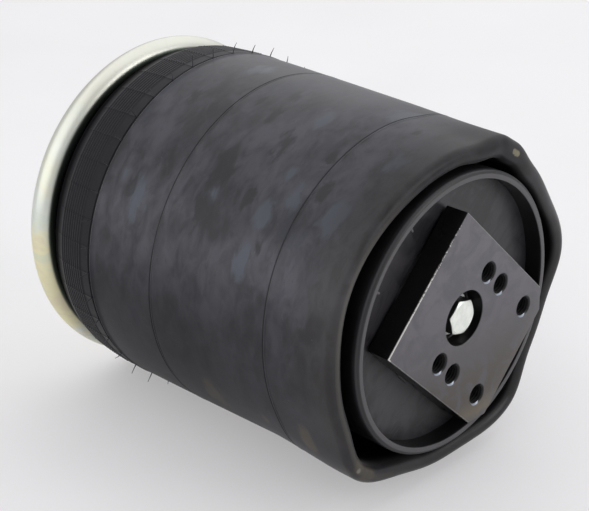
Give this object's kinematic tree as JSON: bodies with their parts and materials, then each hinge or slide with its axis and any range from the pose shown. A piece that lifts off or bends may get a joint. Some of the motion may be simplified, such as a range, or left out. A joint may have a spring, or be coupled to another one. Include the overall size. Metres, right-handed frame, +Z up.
{
  "type": "air suspension spring",
  "caption": "Rolling-lobe air suspension spring: rubber sleeve between a rolled-edge bead plate with studs and a moulded piston with a drilled mounting plate.",
  "frame": {"origin": "middle of the centre bolt on the mounting plate's face, which is also the middle of the near pair of threaded holes", "axes": "+Z up along the spring's axis from the piston to the bead plate; +X along the rows of threaded holes, from the centre bolt towards the far pair; +Y across the rows"},
  "size_m": [0.2316, 0.2316, 0.32],
  "materials": {
    "plate_steel": "satin black-oxide steel plate, bright where its edges are rubbed",
    "piston_plastic": "glass-filled moulded nylon, matt, dark grey",
    "bolt_steel": "bright zinc plating",
    "zinc_steel": "pale yellowish zinc plating on pressed steel, satin",
    "bumper_rubber": "moulded rubber, matt",
    "sleeve_rubber": "vulcanised rubber, matt, with a mottled grey bloom",
    "sleeve_cord": "rubbered nylon cord",
    "bead_wire": "bronze-coated steel wire"
  },
  "bodies": {
    "piston_assembly": {"mounting_plate": "plate_steel", "piston": "piston_plastic", "piston_base": "piston_plastic", "locating_pins": "bolt_steel", "piston_bolt": "bolt_steel", "bolt_washer": "bolt_steel", "end_closure": "zinc_steel", "threaded_boss": "zinc_steel", "bumper": "bumper_rubber", "lower_bead": "sleeve_rubber", "lower_bead_wire": "bead_wire"},
    "lobe": {"rolling_lobe": "sleeve_rubber", "outer_ply": "sleeve_cord", "inner_ply": "sleeve_cord", "sleeve_liner": "sleeve_rubber"},
    "bead_plate_assembly": {"bead_plate": "zinc_steel", "mounting_stud": "zinc_steel", "air_inlet_stud": "zinc_steel", "upper_bead": "sleeve_rubber", "upper_bead_wire": "bead_wire", "sleeve_cover": "sleeve_rubber"}
  },
  "joints": [
    {"name": "lobe_roll", "type": "slide", "parent": "piston_assembly", "child": "lobe", "axis": [0, 0, 1], "range_m": [-0.016, 0.11], "deforming": ["rolling_lobe"]},
    {"name": "bead_plate_travel", "type": "slide", "parent": "lobe", "child": "bead_plate_assembly", "axis": [0, 0, 1], "range_m": [-0.016, 0.11], "stiffness_N_per_m": 12000, "springref_m": 0.004, "deforming": ["outer_ply", "inner_ply", "sleeve_liner"]}
  ],
  "couplings": [
    {"joint": "lobe_roll", "follows": "bead_plate_travel", "ratio": 1}
  ]
}
